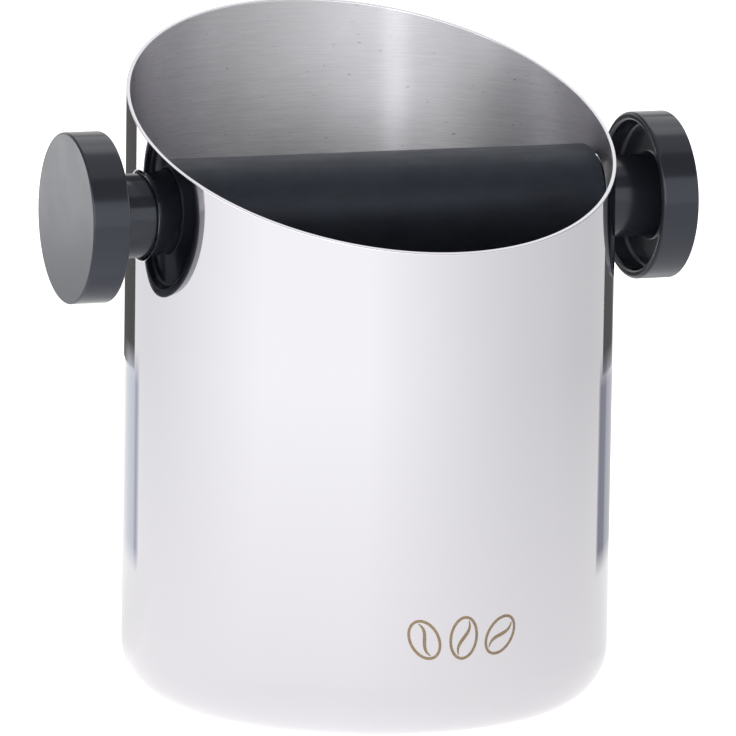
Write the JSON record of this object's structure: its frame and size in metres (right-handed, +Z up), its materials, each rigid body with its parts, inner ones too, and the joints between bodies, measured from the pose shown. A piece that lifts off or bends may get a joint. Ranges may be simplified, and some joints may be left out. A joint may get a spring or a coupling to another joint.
{
  "type": "espresso knock box",
  "caption": "Round polished steel knock box with a slanted open mouth, a rubber-clad knock bar across it, and a stemmed disc knob on each end of the bar.",
  "frame": {"origin": "centre of the underside of the base pad, where the box stands", "axes": "+Z up along the canister, +Y towards the high side of the slanted mouth, +X along the knock bar"},
  "size_m": [0.1642, 0.125, 0.1746],
  "materials": {
    "polished_steel": "mirror polished outside, brushed inside",
    "turned_steel": "turned",
    "insert_brass": "turned",
    "knob_plastic": "semi-gloss black",
    "bar_rubber": "satin black",
    "pad_rubber": "matt black"
  },
  "bodies": {
    "vessel": {"canister_shell": "polished_steel", "base_pad": "pad_rubber"},
    "bar": {"bar_core": "turned_steel", "bar_sleeve": "bar_rubber"},
    "left_thread": {"left_washer": "turned_steel"},
    "right_thread": {"right_washer": "turned_steel"},
    "left_grip": {"left_knob": "knob_plastic", "left_insert": "insert_brass"},
    "right_grip": {"right_knob": "knob_plastic", "right_insert": "insert_brass"}
  },
  "joints": [
    {"name": "bar_spin", "type": "hinge", "parent": "vessel", "child": "bar", "pos_m": [0, 0, 0.1282], "axis": [1, 0, 0], "continuous": true},
    {"name": "left_travel", "type": "slide", "parent": "bar", "child": "left_thread", "axis": [-1, 0, 0], "range_m": [0, 0.0125]},
    {"name": "left_unscrew", "type": "hinge", "parent": "left_thread", "child": "left_grip", "pos_m": [-0.0717, 0, 0.1282], "axis": [-1, 0, 0], "range_deg": [0, 3600]},
    {"name": "right_travel", "type": "slide", "parent": "bar", "child": "right_thread", "axis": [1, 0, 0], "range_m": [0, 0.0125]},
    {"name": "right_unscrew", "type": "hinge", "parent": "right_thread", "child": "right_grip", "pos_m": [0.0717, 0, 0.1282], "axis": [1, 0, 0], "range_deg": [0, 3600]}
  ],
  "couplings": [
    {"joint": "left_travel", "follows": "left_unscrew", "m_per_rad": 0.00019894},
    {"joint": "right_travel", "follows": "right_unscrew", "m_per_rad": 0.00019894}
  ]
}
